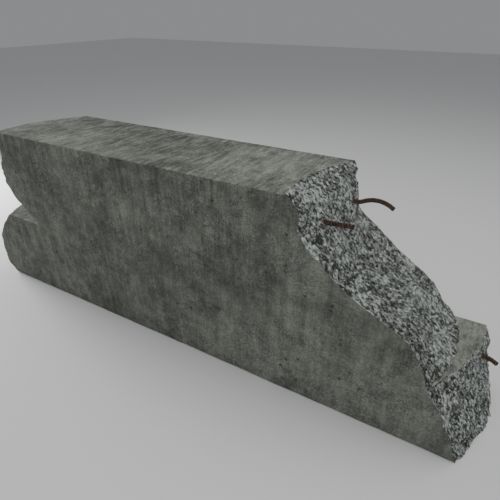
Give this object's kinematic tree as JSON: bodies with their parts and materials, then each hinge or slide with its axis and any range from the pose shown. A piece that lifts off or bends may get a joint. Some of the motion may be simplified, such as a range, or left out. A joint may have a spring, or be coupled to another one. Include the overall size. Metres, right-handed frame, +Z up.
{
  "type": "broken concrete barrier",
  "caption": "Length of reinforced concrete road barrier with a flat face and both ends broken off in steps, with bare bent bars in the breaks.",
  "frame": {"origin": "on the ground under the middle of the barrier, half way between its faces", "axes": "+X along the barrier towards the end whose lower lift shows as a ledge under the steep break, +Y from the front face to the back face, +Z up"},
  "size_m": [2.4877, 0.445, 0.81],
  "materials": {
    "lower_concrete": "cast concrete, stained and weathered, coarse and speckled where broken",
    "upper_concrete": "cast concrete, streaked and weathered, coarse and speckled where broken",
    "rusty_bar": "ribbed and rusted",
    "link_steel": "mill scale with light rust",
    "mortar": "fine sand mortar",
    "tie_wire": "black annealed"
  },
  "bodies": {
    "root": {"lower_lift": "lower_concrete", "upper_lift": "upper_concrete", "front_upper_bar": "rusty_bar", "back_upper_bar": "rusty_bar", "front_middle_bar": "rusty_bar", "back_middle_bar": "rusty_bar", "front_ledge_bar": "rusty_bar", "back_ledge_bar": "rusty_bar", "front_bottom_bar": "rusty_bar", "back_bottom_bar": "rusty_bar", "tall_link_1": "link_steel", "tall_link_2": "link_steel", "tall_link_3": "link_steel", "tall_link_4": "link_steel", "tall_link_5": "link_steel", "tall_link_6": "link_steel", "tall_link_7": "link_steel", "low_link_1": "link_steel", "low_link_2": "link_steel", "low_link_3": "link_steel", "low_link_4": "link_steel", "low_link_5": "link_steel", "cover_blocks_1": "mortar", "cover_blocks_2": "mortar", "cover_blocks_3": "mortar", "cover_blocks_4": "mortar", "cover_blocks_5": "mortar", "tie_wires": "tie_wire"}
  },
  "joints": []
}
